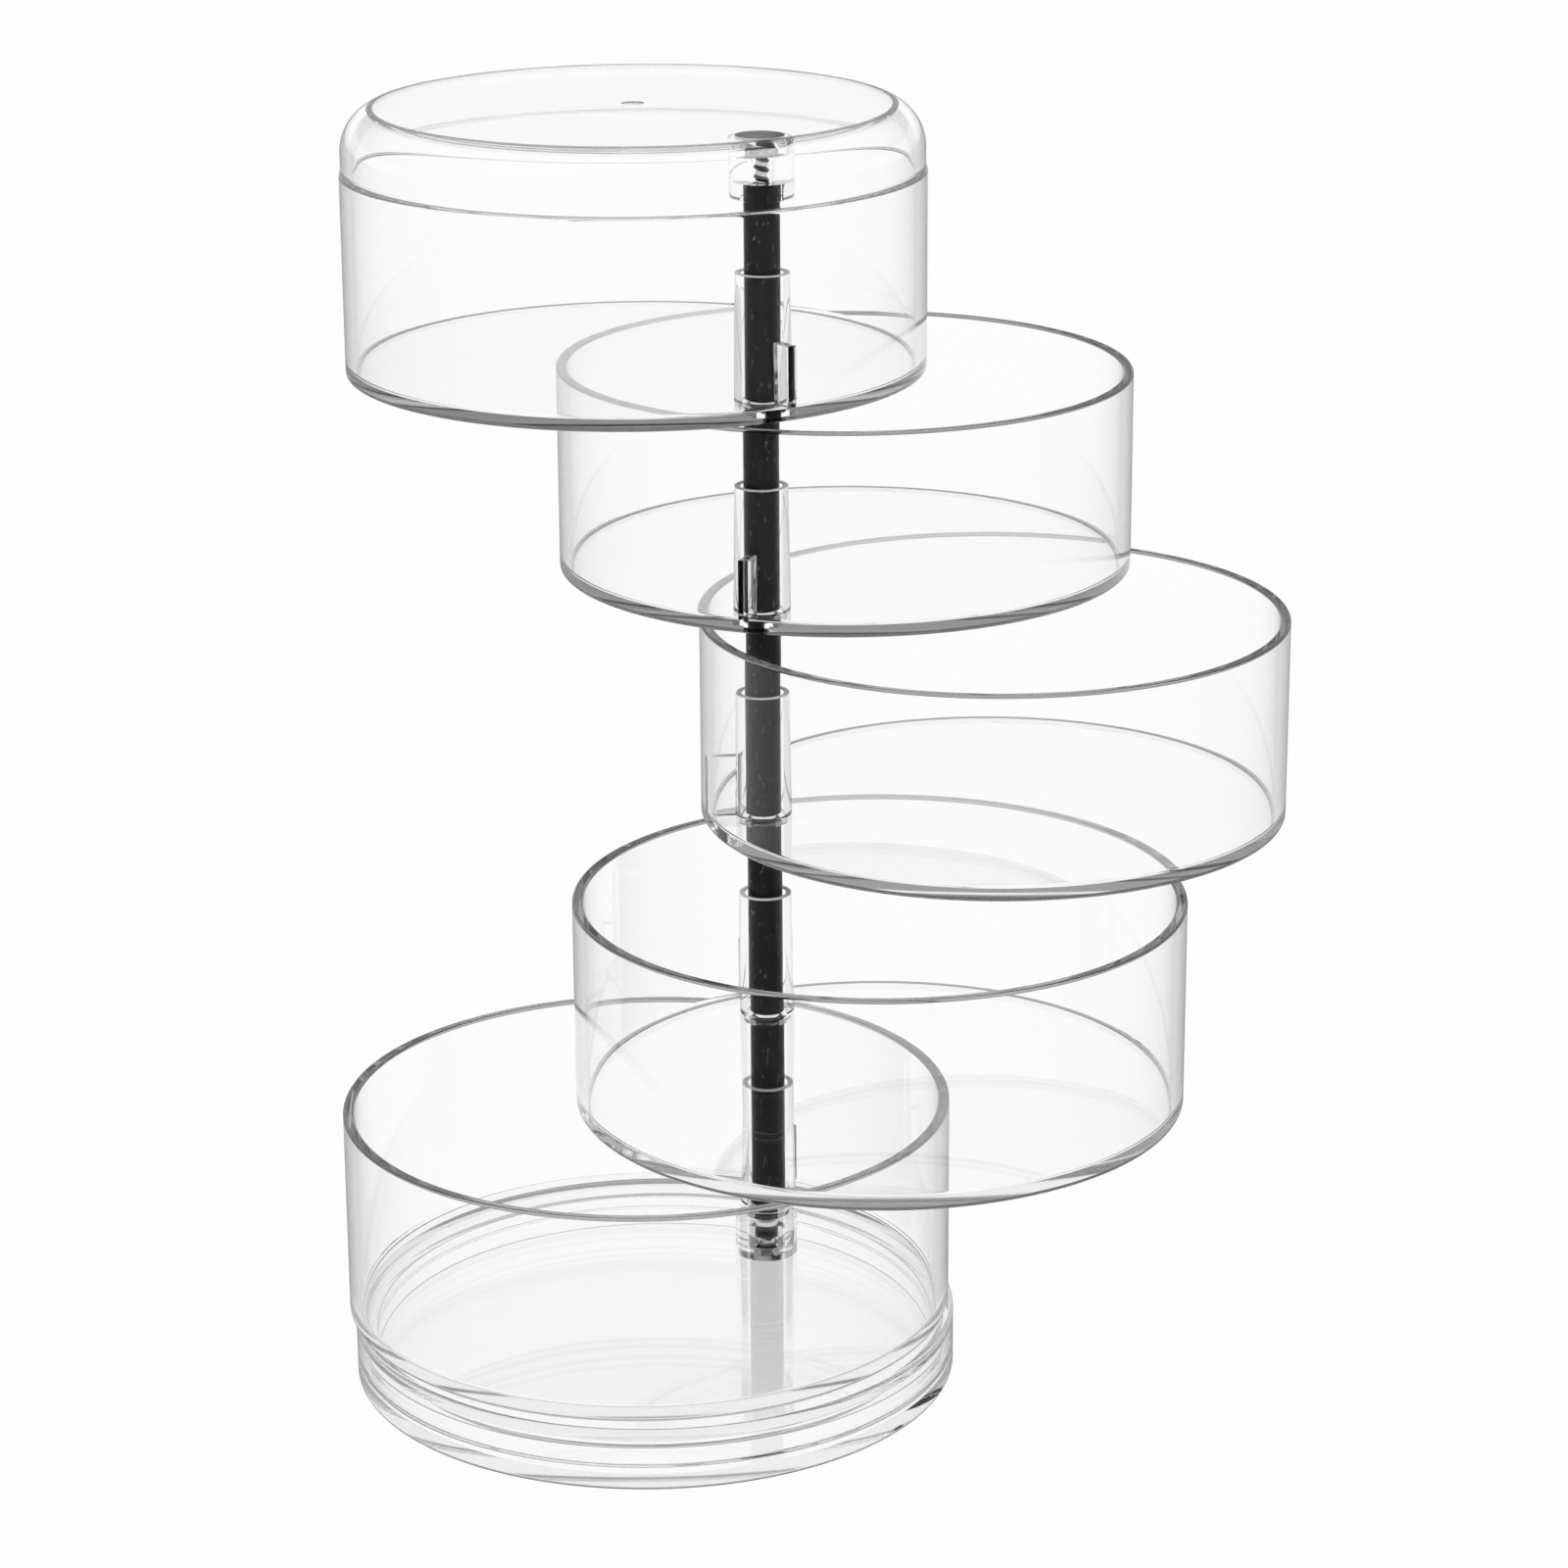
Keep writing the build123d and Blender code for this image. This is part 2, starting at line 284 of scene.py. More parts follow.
def new_object(name, mesh_maker):
    """Object from a bmesh, with its normals outward."""
    bmesh.ops.recalc_face_normals(mesh_maker, faces=mesh_maker.faces)
    mesh = bpy.data.meshes.new(name)
    mesh_maker.to_mesh(mesh)
    mesh_maker.free()
    made = bpy.data.objects.new(name, mesh)
    bpy.context.scene.collection.objects.link(made)
    return made


def lathe(name, outline, segments, across=0.0):
    """Solid turned about an upright axis at x = across, from a closed outline of (radius, height) points."""
    shape = bmesh.new()
    rings = []
    for radius, height in outline:
        if radius < SAME_PLACE:
            rings.append([shape.verts.new((across, 0, height))] * segments)
            continue
        angles = [2 * pi * k / segments for k in range(segments)]
        rings.append([shape.verts.new((across + radius * cos(a), radius * sin(a), height)) for a in angles])
    for ring, following in zip(rings, rings[1:] + rings[:1]):
        for k in range(segments):
            corners = list(dict.fromkeys((ring[k - 1], ring[k], following[k], following[k - 1])))
            if len(corners) > 2:
                shape.faces.new(corners)
    return new_object(name, shape)


def bar(name, outline, start, end):
    """Solid along x from start to end, from an outline of (y, z) points."""
    shape = bmesh.new()
    near = [shape.verts.new((start, y, z)) for y, z in outline]
    far = [shape.verts.new((end, y, z)) for y, z in outline]
    shape.faces.new(near)
    shape.faces.new(far)
    for k in range(len(outline)):
        shape.faces.new((near[k - 1], near[k], far[k], far[k - 1]))
    return new_object(name, shape)


def combine(target, tool, operation):
    """Joins or cuts target with tool, which is used up."""
    step = target.modifiers.new("combine", "BOOLEAN")
    step.object = tool
    step.operation = operation
    step.solver = "EXACT"
    shaped = target.evaluated_get(bpy.context.evaluated_depsgraph_get())
    mesh = bpy.data.meshes.new_from_object(shaped)
    target.modifiers.clear()
    target.data = mesh
    bpy.data.objects.remove(tool)


def smooth(piece):
    piece.data.shade_smooth()
    piece.data.set_sharp_from_angle(angle=SHARP_ANGLE)


def mark(piece, look, across, *rings):
    """Gives one of a piece's materials to its faces in rings about x = across.

    A ring is (least radius, most radius, lowest, highest)."""
    for face in piece.data.polygons:
        away = math.hypot(face.center.x - across, face.center.y)
        for least, most, lowest, highest in rings:
            if least - HOLD < away < most + HOLD and lowest - HOLD < face.center.z < highest + HOLD:
                face.material_index = look


def stands_for(piece, node, body, materials):
    """Puts a finished piece in the place of its CAD node."""
    piece.name = f"{node}_dressed"
    for material in materials:
        piece.data.materials.append(material)
    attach(piece, body)
    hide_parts(node)


# Materials
def link(tree, start, end):
    tree.links.new(start, end)


def set_ramp(ramp, stops):
    """Gives a colour ramp its (position, brightness) stops."""
    elements = ramp.color_ramp.elements
    while len(elements) < len(stops):
        elements.new(1)
    for element, (position, brightness) in zip(elements, stops):
        element.position = position
        element.color = (brightness, brightness, brightness, 1)


def noise(tree, scale, detail, stretch=(1, 1, 1)):
    """Noise over the piece's own coordinates, in features per metre."""
    place = tree.nodes.new("ShaderNodeTexCoord")
    mapping = tree.nodes.new("ShaderNodeMapping")
    mapping.inputs["Scale"].default_value = stretch
    texture = tree.nodes.new("ShaderNodeTexNoise")
    texture.inputs["Scale"].default_value = scale
    texture.inputs["Detail"].default_value = detail
    link(tree, place.outputs["Object"], mapping.inputs["Vector"])
    link(tree, mapping.outputs["Vector"], texture.inputs["Vector"])
    return texture.outputs["Fac"]


def spread(tree, value, low, high):
    """A 0 to 1 value spread over another range."""
    ranged = tree.nodes.new("ShaderNodeMapRange")
    ranged.inputs["From Min"].default_value = NOISE_LOW
    ranged.inputs["From Max"].default_value = NOISE_HIGH
    ranged.inputs["To Min"].default_value = low
    ranged.inputs["To Max"].default_value = high
    link(tree, value, ranged.inputs["Value"])
    return ranged.outputs["Result"]


def bumped(tree, shader, height, strength, distance):
    bump = tree.nodes.new("ShaderNodeBump")
    bump.inputs["Strength"].default_value = strength
    bump.inputs["Distance"].default_value = distance
    link(tree, height, bump.inputs["Height"])
    link(tree, bump.outputs["Normal"], shader.inputs["Normal"])


def new_material(name):
    material = bpy.data.materials.new(name)
    material.use_nodes = True
    return material, material.node_tree, material.node_tree.nodes["Principled BSDF"]


def clear_plastic(name, tint, roughness=POLISHED):
    """Polished clear moulding, faintly wavy, that greys where the eye looks along a wall. A darker tint
    paints shade onto outlines and lines.
    """
    material, tree, shader = new_material(name)
    shader.inputs["Base Color"].default_value = (*tint, 1)
    shader.inputs["Transmission Weight"].default_value = 1
    shader.inputs["IOR"].default_value = PLASTIC_IOR
    shader.inputs["Specular Tint"].default_value = (SPECULAR_TINT, SPECULAR_TINT, SPECULAR_TINT, 1)
    link(tree, spread(tree, noise(tree, *MOULD_WAVES), *roughness), shader.inputs["Roughness"])
    bumped(tree, shader, noise(tree, *MOULD_RIPPLES), *MOULD_BUMP)
    absorption = tree.nodes.new("ShaderNodeVolumeAbsorption")
    absorption.inputs["Color"].default_value = (*ABSORPTION_COLOUR, 1)
    absorption.inputs["Density"].default_value = ABSORPTION_DENSITY
    link(tree, absorption.outputs["Volume"], tree.nodes["Material Output"].inputs["Volume"])
    return material


def matt_plastic():
    """Unpolished face of the clear moulding, whitened by its fine grain."""
    material, tree, shader = new_material("clear_plastic_matt")
    grain = noise(tree, *MATT_GRAIN)
    shader.inputs["Base Color"].default_value = (MATT_WHITE, MATT_WHITE, MATT_WHITE, 1)
    shader.inputs["Transmission Weight"].default_value = MATT_CLEARNESS
    shader.inputs["IOR"].default_value = PLASTIC_IOR
    link(tree, spread(tree, grain, *UNPOLISHED), shader.inputs["Roughness"])
    bumped(tree, shader, grain, *MATT_BUMP)
    return material


def black_plastic():
    """Black moulded rod with faint draw marks along it."""
    material, tree, shader = new_material("black_plastic")
    streaks = noise(tree, *DRAW_MARKS)
    colour = tree.nodes.new("ShaderNodeValToRGB")
    set_ramp(colour, ROD_BLACKS)
    link(tree, streaks, colour.inputs["Fac"])
    scuffs = tree.nodes.new("ShaderNodeValToRGB")
    set_ramp(scuffs, SCUFF_STOPS)
    link(tree, noise(tree, *SCUFF_MARKS), scuffs.inputs["Fac"])
    scuffed = tree.nodes.new("ShaderNodeMix")
    scuffed.data_type = "RGBA"
    scuffed.inputs["B"].default_value = (SCUFF_GREY, SCUFF_GREY, SCUFF_GREY, 1)
    link(tree, scuffs.outputs["Color"], scuffed.inputs["Factor"])
    link(tree, colour.outputs["Color"], scuffed.inputs["A"])
    link(tree, scuffed.outputs["Result"], shader.inputs["Base Color"])
    shader.inputs["Specular IOR Level"].default_value = ROD_SPECULAR
    link(tree, spread(tree, noise(tree, *ROD_SHEEN), *ROD_ROUGHNESS), shader.inputs["Roughness"])
    bumped(tree, shader, streaks, *ROD_BUMP)
    return material


def screw_steel(name, darkest, lightest):
    """Zinc-plated steel."""
    material, tree, shader = new_material(name)
    shader.inputs["Metallic"].default_value = 1
    grain = noise(tree, *STEEL_GRAIN)
    colour = tree.nodes.new("ShaderNodeValToRGB")
    set_ramp(colour, ((NOISE_LOW, darkest), (NOISE_HIGH, lightest)))
    link(tree, grain, colour.inputs["Fac"])
    link(tree, colour.outputs["Color"], shader.inputs["Base Color"])
    link(tree, spread(tree, grain, *STEEL_ROUGHNESS), shader.inputs["Roughness"])
    bumped(tree, shader, grain, *STEEL_BUMP)
    return material


# Clear pieces, made about their own round centre, with the axle at x = -AXLE_OFFSET
def make_tray():
    inner = TRAY_RADIUS - TRAY_WALL
    cup = lathe("tray", rounded([
        (0, 0, 0),
        (TRAY_RADIUS, 0, TRAY_BOTTOM_ROUND),
        (TRAY_RADIUS, TRAY_HEIGHT, RIM_ROUND),
        (inner, TRAY_HEIGHT, RIM_ROUND),
        (inner, TRAY_FLOOR, TRAY_FLOOR_ROUND),
        (0, TRAY_FLOOR, 0),
    ]), WIDE_SEGMENTS)
    hub = lathe("hub", rounded([
        (0, TRAY_FLOOR / 2, 0),
        (HUB_FOOT_RADIUS, TRAY_FLOOR / 2, 0),
        (HUB_FOOT_RADIUS, TRAY_FLOOR, 0),
        (HUB_TOP_RADIUS, HUB_HEIGHT, HUB_TOP_ROUND),
        (0, HUB_HEIGHT, 0),
    ]), NARROW_SEGMENTS, -AXLE_OFFSET)
    half = RIB_THICKNESS / 2
    rib_top = TRAY_FLOOR + RIB_HEIGHT
    rib = bar("rib", rounded([
        (-half, TRAY_FLOOR / 2, 0),
        (half, TRAY_FLOOR / 2, 0),
        (half, rib_top, RIB_EDGE_ROUND),
        (-half, rib_top, RIB_EDGE_ROUND),
    ]), -AXLE_OFFSET, -inner - TRAY_WALL / 2)
    foot = lathe("foot", rounded([
        (0, -TRAY_GAP, 0),
        (FOOT_RADIUS, -TRAY_GAP, FOOT_ROUND),
        (FOOT_RADIUS, TRAY_FLOOR / 2, 0),
        (0, TRAY_FLOOR / 2, 0),
    ]), NARROW_SEGMENTS, -AXLE_OFFSET)
    flare_centre = (HUB_BORE_RADIUS + HUB_TOP_ROUND, HUB_HEIGHT - HUB_TOP_ROUND)
    bore = lathe("bore", [
        Vector((0, -TRAY_GAP - OVERRUN)),
        Vector((RUNNING_BORE_RADIUS, -TRAY_GAP - OVERRUN)),
        Vector((RUNNING_BORE_RADIUS, TRAY_FLOOR)),
        Vector((HUB_BORE_RADIUS, TRAY_FLOOR)),
        Vector((HUB_BORE_RADIUS, flare_centre[1] - HOLD)),
        *arc(flare_centre, HUB_TOP_ROUND, pi, pi / 2, ROUND_STEPS),
        Vector((flare_centre[0], HUB_HEIGHT + OVERRUN)),
        Vector((0, HUB_HEIGHT + OVERRUN)),
    ], NARROW_SEGMENTS, -AXLE_OFFSET)
    for part in (hub, rib, foot):
        combine(cup, part, "UNION")
    combine(cup, bore, "DIFFERENCE")
    smooth(cup)
    mark(cup, MATT, -AXLE_OFFSET, (HUB_BORE_RADIUS, HUB_TOP_RADIUS, HUB_HEIGHT - HUB_TOP_ROUND, HUB_HEIGHT))
    return cup


# Painted shade: a dark outline on the rounded bottom edge of a tray
def paint_bottom_shade(cup):
    mark(cup, PAINTED_EDGE_SHADE, 0, (TRAY_RADIUS - TRAY_BOTTOM_ROUND, TRAY_RADIUS, 0, TRAY_BOTTOM_ROUND))


# Painted shade: a dark outline on the rim of a tray
def paint_rim_shade(cup):
    mark(cup, PAINTED_EDGE_SHADE, 0, (TRAY_RADIUS - TRAY_WALL, TRAY_RADIUS, TRAY_HEIGHT - RIM_ROUND, TRAY_HEIGHT))


def make_lid():
    shoulder_start = LID_HEIGHT - LID_SHOULDER_HEIGHT
    shoulder_width = LID_RADIUS - LID_FLAT_RADIUS
    shoulder_radius = (shoulder_width**2 + LID_SHOULDER_HEIGHT**2) / (2 * shoulder_width)
    shoulder_centre = (LID_RADIUS - shoulder_radius, shoulder_start)
    inner_radius = shoulder_radius - LID_WALL
    inner_rise = LID_SHOULDER_HEIGHT - LID_WALL
    inner = LID_RADIUS - LID_WALL
    ceiling = LID_HEIGHT - LID_WALL
    outer_turn = math.asin(LID_SHOULDER_HEIGHT / shoulder_radius)
    inner_turn = math.asin(inner_rise / inner_radius)
    outer_arc = arc(shoulder_centre, shoulder_radius, 0, outer_turn, SHOULDER_STEPS)
    inner_arc = arc(shoulder_centre, inner_radius, inner_turn, 0, SHOULDER_STEPS)
    edge = rounded([
        (inner, shoulder_start, 0),
        (inner, 0, LID_EDGE_ROUND),
        (LID_RADIUS, 0, LID_EDGE_ROUND),
        (LID_RADIUS, shoulder_start, 0),
    ])
    top = [Vector((LID_FLAT_RADIUS - LID_RING_WIDTH, LID_HEIGHT)), Vector((0, LID_HEIGHT))]
    lid = lathe("lid", [Vector((0, ceiling))] + inner_arc[:-1] + edge + outer_arc[1:] + top, WIDE_SEGMENTS)
    boss = lathe("boss", rounded([
        (0, LID_BOSS_GAP, 0),
        (LID_BOSS_RADIUS, LID_BOSS_GAP, LID_EDGE_ROUND),
        (LID_BOSS_RADIUS, ceiling + LID_WALL / 2, 0),
        (0, ceiling + LID_WALL / 2, 0),
    ]), NARROW_SEGMENTS, -AXLE_OFFSET)
    socket_end = LID_BOSS_GAP + LID_SOCKET_DEPTH
    seat = LID_HEIGHT - LID_COUNTERBORE_DEPTH
    mouth = LID_HEIGHT - LID_COUNTERBORE_DEPTH / 2
    bore = lathe("bore", rounded([
        (0, -OVERRUN, 0),
        (LID_SOCKET_RADIUS, -OVERRUN, 0),
        (LID_SOCKET_RADIUS, socket_end, 0),
        (SCREW_HOLE_RADIUS, socket_end, 0),
        (SCREW_HOLE_RADIUS, seat, 0),
        (LID_COUNTERBORE_RADIUS, seat, 0),
        (LID_COUNTERBORE_RADIUS, mouth, 0),
        (LID_COUNTERBORE_RADIUS, LID_HEIGHT + OVERRUN, 0),
        (0, LID_HEIGHT + OVERRUN, 0),
    ]), NARROW_SEGMENTS, -AXLE_OFFSET)
    gate_mark = lathe("gate_mark", rounded([
        (0, LID_HEIGHT - GATE_MARK_DEPTH, 0),
        (GATE_MARK_RADIUS, LID_HEIGHT - GATE_MARK_DEPTH, GATE_MARK_DEPTH / 3),
        (GATE_MARK_RADIUS, LID_HEIGHT + OVERRUN, 0),
        (0, LID_HEIGHT + OVERRUN, 0),
    ]), NARROW_SEGMENTS)
    combine(lid, boss, "UNION")
    combine(lid, bore, "DIFFERENCE")
    combine(lid, gate_mark, "DIFFERENCE")
    smooth(lid)
    # Painted shade: dark lines on the upper counterbore wall, at the edge of the flat top, and on the lid's
    # rounded bottom edge
    mark(lid, PAINTED_LINE_SHADE, -AXLE_OFFSET, (LID_COUNTERBORE_RADIUS - HOLD, LID_COUNTERBORE_RADIUS, mouth, LID_HEIGHT))
    first_step = outer_arc[-2]
    mark(
        lid, PAINTED_LINE_SHADE, 0,
        (LID_FLAT_RADIUS - LID_RING_WIDTH, first_step.x, first_step.y, LID_HEIGHT),
        (LID_RADIUS - LID_EDGE_ROUND, LID_RADIUS, 0, LID_EDGE_ROUND),
    )
    return lid


def make_base_top():
    inner = BASE_RADIUS - BASE_WALL
    ceiling = BASE_HEIGHT - BASE_TOP_THICKNESS
    joint = BASE_JOINT_HEIGHT + SEAM
    top = BASE_HEIGHT - SEAM
    cup = lathe("base_top", rounded([
        (0, ceiling, 0),
        (inner, ceiling, JOINT_ROUND),
        (inner, joint, JOINT_ROUND),
        (BASE_RADIUS, joint, JOINT_ROUND),
        (BASE_RADIUS, top, BASE_EDGE_ROUND),
        (0, top, 0),
    ]), WIDE_SEGMENTS)
    boss = lathe("boss", rounded([
        (0, joint, 0),
        (BASE_BOSS_RADIUS, joint, JOINT_ROUND),
        (BASE_BOSS_RADIUS, ceiling + BASE_TOP_THICKNESS / 2, 0),
        (0, ceiling + BASE_TOP_THICKNESS / 2, 0),
    ]), NARROW_SEGMENTS, -AXLE_OFFSET)
    bore = lathe("bore", rounded([
        (0, joint - OVERRUN, 0),
        (SOCKET_RADIUS, joint - OVERRUN, 0),
        (SOCKET_RADIUS, BASE_HEIGHT + OVERRUN, 0),
        (0, BASE_HEIGHT + OVERRUN, 0),
    ]), NARROW_SEGMENTS, -AXLE_OFFSET)
    combine(cup, boss, "UNION")
    combine(cup, bore, "DIFFERENCE")
    smooth(cup)
    return cup


def make_base_bottom():
    lip_outer = BASE_RADIUS - BASE_WALL - BASE_LIP_CLEARANCE
    lip_inner = lip_outer - BASE_LIP_THICKNESS
    lip_top = BASE_JOINT_HEIGHT + BASE_LIP_HEIGHT
    dish = lathe("base_bottom", rounded([
        (0, 0, 0),
        (BASE_RADIUS, 0, BASE_EDGE_ROUND),
        (BASE_RADIUS, BASE_JOINT_HEIGHT, JOINT_ROUND),
        (lip_outer, BASE_JOINT_HEIGHT, 0),
        (lip_outer, lip_top, JOINT_ROUND),
        (lip_inner, lip_top, JOINT_ROUND),
        (lip_inner, BASE_FLOOR, JOINT_ROUND),
        (0, BASE_FLOOR, 0),
    ]), WIDE_SEGMENTS)
    boss = lathe("boss", rounded([
        (0, BASE_FLOOR / 2, 0),
        (BASE_BOSS_RADIUS, BASE_FLOOR / 2, 0),
        (BASE_BOSS_RADIUS, BASE_JOINT_HEIGHT, JOINT_ROUND),
        (0, BASE_JOINT_HEIGHT, 0),
    ]), NARROW_SEGMENTS, -AXLE_OFFSET)
    bore = lathe("bore", rounded([
        (0, -OVERRUN, 0),
        (BASE_COUNTERBORE_RADIUS, -OVERRUN, 0),
        (BASE_COUNTERBORE_RADIUS, BASE_COUNTERBORE_DEPTH, 0),
        (SCREW_HOLE_RADIUS, BASE_COUNTERBORE_DEPTH, 0),
        (SCREW_HOLE_RADIUS, BASE_JOINT_HEIGHT + OVERRUN, 0),
        (0, BASE_JOINT_HEIGHT + OVERRUN, 0),
    ]), NARROW_SEGMENTS, -AXLE_OFFSET)
    combine(dish, boss, "UNION")
    combine(dish, bore, "DIFFERENCE")
    smooth(dish)
    # Painted shade: a dark outline on the rounded bottom edge of the base
    mark(dish, PAINTED_EDGE_SHADE, 0, (BASE_RADIUS - BASE_EDGE_ROUND, BASE_RADIUS, 0, BASE_EDGE_ROUND / 2))
    return dish


# Rods and screws, made upright about the axle at their real height
def make_rod(number):
    """Black rod with a spigot below and a hole for the next spigot, or for a screw, at its top."""
    low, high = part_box(f"axle_rod_{number}")
    spigot_end = low.z
    top = high.z - SEAM
    shoulder = tray_underside(number) + TRAY_FLOOR + AXIAL_PLAY
    first, last = number == 1, number == TRAY_COUNT
    hole_radius = PILOT_RADIUS if first else SOCKET_RADIUS
    hole_end = top - (PILOT_DEPTH if first else SPIGOT_DEPTH)
    outline = [
        (ROD_RADIUS - ROD_CHAMFER, shoulder),
        (ROD_RADIUS, shoulder + ROD_CHAMFER),
        (ROD_RADIUS, top - ROD_CHAMFER),
        (ROD_RADIUS - ROD_CHAMFER, top),
        (hole_radius, top),
        (hole_radius, hole_end),
        (0, hole_end),
    ]
    if last:
        outline += [
            (0, spigot_end + PILOT_DEPTH),
            (PILOT_RADIUS, spigot_end + PILOT_DEPTH),
            (PILOT_RADIUS, spigot_end),
        ]
    else:
        outline += [(0, spigot_end)]
    outline += [
        (SPIGOT_RADIUS - ROD_CHAMFER, spigot_end),
        (SPIGOT_RADIUS, spigot_end + ROD_CHAMFER),
        (SPIGOT_RADIUS, shoulder),
    ]
    rod = lathe("rod", outline, NARROW_SEGMENTS)
    smooth(rod)
    return rod


def make_screw(length):
    """Pan head screw, head up, with its seat a seam above height 0 and a coarse thread below."""
    steps_along = int(length / THREAD_PITCH * THREAD_ROWS_PER_TURN)
    shape = bmesh.new()
    rings = []
    for row in range(steps_along + 1):
        depth = length * row / steps_along
        taper = min(1.0, (length - depth) / TIP_LENGTH)
        start = min(1.0, depth / (THREAD_PITCH * THREAD_RUN_IN))
        ring = []
        for k in range(THREAD_SEGMENTS):
            phase = (depth / THREAD_PITCH - k / THREAD_SEGMENTS) % 1.0
            ridge = max(0.0, 1 - abs(phase - 0.5) / THREAD_FLANK) * start
            radius = (THREAD_ROOT_RADIUS + (THREAD_CREST_RADIUS - THREAD_ROOT_RADIUS) * ridge) * taper
            angle = 2 * pi * k / THREAD_SEGMENTS
            ring.append(shape.verts.new((radius * cos(angle), radius * sin(angle), SEAM + HOLD - depth)))
        rings.append(ring)
    for ring, following in zip(rings, rings[1:]):
        for k in range(THREAD_SEGMENTS):
            shape.faces.new((ring[k - 1], ring[k], following[k], following[k - 1]))
    bmesh.ops.remove_doubles(shape, verts=shape.verts, dist=SAME_PLACE)
    shape.faces.new(rings[0])
    shank = new_object("shank", shape)
    head = lathe("head", rounded([
        (0, SEAM, 0),
        (HEAD_RADIUS, SEAM, 0),
        (HEAD_RADIUS, HEAD_HEIGHT, HEAD_ROUND),
        (0, HEAD_HEIGHT, 0),
    ]), NARROW_SEGMENTS)
    for turn in (0, pi / 2):
        half = RECESS_WIDTH / 2
        slot = bar("slot", [
            (-half, HEAD_HEIGHT - RECESS_DEPTH),
            (half, HEAD_HEIGHT - RECESS_DEPTH),
            (half, HEAD_HEIGHT + OVERRUN),
            (-half, HEAD_HEIGHT + OVERRUN),
        ], -RECESS_LENGTH / 2, RECESS_LENGTH / 2)
        slot.data.transform(Matrix.Rotation(turn, 4, "Z"))
        combine(head, slot, "DIFFERENCE")
    combine(head, shank, "UNION")
    smooth(head)
    # Painted shade: dark steel on the thread crests and the rounded top of the head
    shaded_crest_start = THREAD_ROOT_RADIUS + (THREAD_CREST_RADIUS - THREAD_ROOT_RADIUS) * SHADED_CREST_SHARE
    mark(
        head, PAINTED_EDGE_SHADE, 0,
        (shaded_crest_start, THREAD_CREST_RADIUS, -length, -HOLD),
        (0, HEAD_RADIUS, HEAD_HEIGHT - HEAD_ROUND, HEAD_HEIGHT),
    )
    return head


# Places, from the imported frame
axle = Vector(frame["joints"][0]["pos_m"])
axle.z = 0


def centre_of(node):
    low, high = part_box(node)
    return Vector(((low.x + high.x) / 2, (low.y + high.y) / 2, 0))


def tray_underside(number):
    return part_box(f"tray_{number}")[1].z - TRAY_HEIGHT


def put(piece, place, turn=0.0, turn_axis="Z"):
    """Moves the mesh of a piece to its place, so that its object stays at the origin as a CAD node does."""
    piece.data.transform(Matrix.Translation(place) @ Matrix.Rotation(turn, 4, turn_axis))


def put_round(piece, centre, height):
    """Places a piece made about its round centre, with its axle on the real one."""
    outward = centre - axle
    put(piece, (centre.x, centre.y, height), math.atan2(outward.y, outward.x))


# Camera
def make_camera():
    pitch, yaw = -CAMERA_PITCH_DOWN, CAMERA_YAW_RIGHT
    forward = Vector((sin(yaw) * cos(pitch), cos(yaw) * cos(pitch), sin(pitch)))
    level_right = forward.cross(Vector((0, 0, 1))).normalized()
    level_up = level_right.cross(forward)
    right = level_right * cos(CAMERA_ROLL) + level_up * sin(CAMERA_ROLL)
    up = level_up * cos(CAMERA_ROLL) - level_right * sin(CAMERA_ROLL)
    camera = bpy.data.objects.new("camera", bpy.data.cameras.new("camera"))
    camera.data.sensor_width = SENSOR_WIDTH
    camera.data.lens = CAMERA_LENS
    place = Matrix((right, up, -forward)).transposed().to_4x4()
    place.translation = axle + Vector((0, -CAMERA_DISTANCE, CAMERA_HEIGHT))
    camera.matrix_world = place
    bpy.context.scene.collection.objects.link(camera)
    bpy.context.scene.camera = camera


# Studio: white behind and below for the eye and through the plastic
def background_share(tree, reflected):
    """Share of the white background in what a ray sees.

    The eye sees all of it, and a reflection sees the share reflected. Through the plastic it is all of it
    for a straight ray, and less for one that was thrown back inside a wall, because such light comes from
    the dark sides of a studio."""
    path = tree.nodes.new("ShaderNodeLightPath")
    scaled = tree.nodes.new("ShaderNodeMath")
    scaled.operation = "DIVIDE"
    scaled.inputs[1].default_value = DEEPEST
    link(tree, path.outputs["Glossy Depth"], scaled.inputs[0])
    by_depth = tree.nodes.new("ShaderNodeValToRGB")
    set_ramp(by_depth, [(depth / DEEPEST, share) for depth, share in THROUGH_SHARES])
    link(tree, scaled.outputs["Value"], by_depth.inputs["Fac"])
    through = tree.nodes.new("ShaderNodeMath")
    through.operation = "MULTIPLY"
    link(tree, path.outputs["Is Transmission Ray"], through.inputs[0])
    link(tree, by_depth.outputs["Color"], through.inputs[1])
    dimmed = tree.nodes.new("ShaderNodeMath")
    dimmed.operation = "MULTIPLY"
    link(tree, path.outputs["Is Glossy Ray"], dimmed.inputs[0])
    if isinstance(reflected, float):
        dimmed.inputs[1].default_value = reflected
    else:
        link(tree, reflected, dimmed.inputs[1])
    seen = tree.nodes.new("ShaderNodeMath")
    seen.operation = "MAXIMUM"
    link(tree, path.outputs["Is Camera Ray"], seen.inputs[0])
    link(tree, through.outputs["Value"], seen.inputs[1])
    either = tree.nodes.new("ShaderNodeMath")
    either.operation = "MAXIMUM"
    link(tree, seen.outputs["Value"], either.inputs[0])
    link(tree, dimmed.outputs["Value"], either.inputs[1])
    return either.outputs["Value"]


def through_darkness(tree):
    """Share of the room's own light that a ray through the plastic misses."""
    path = tree.nodes.new("ShaderNodeLightPath")
    missed = tree.nodes.new("ShaderNodeMath")
    missed.operation = "MULTIPLY"
    missed.inputs[1].default_value = THROUGH_DARKNESS
    link(tree, path.outputs["Is Transmission Ray"], missed.inputs[0])
    return missed.outputs["Value"]


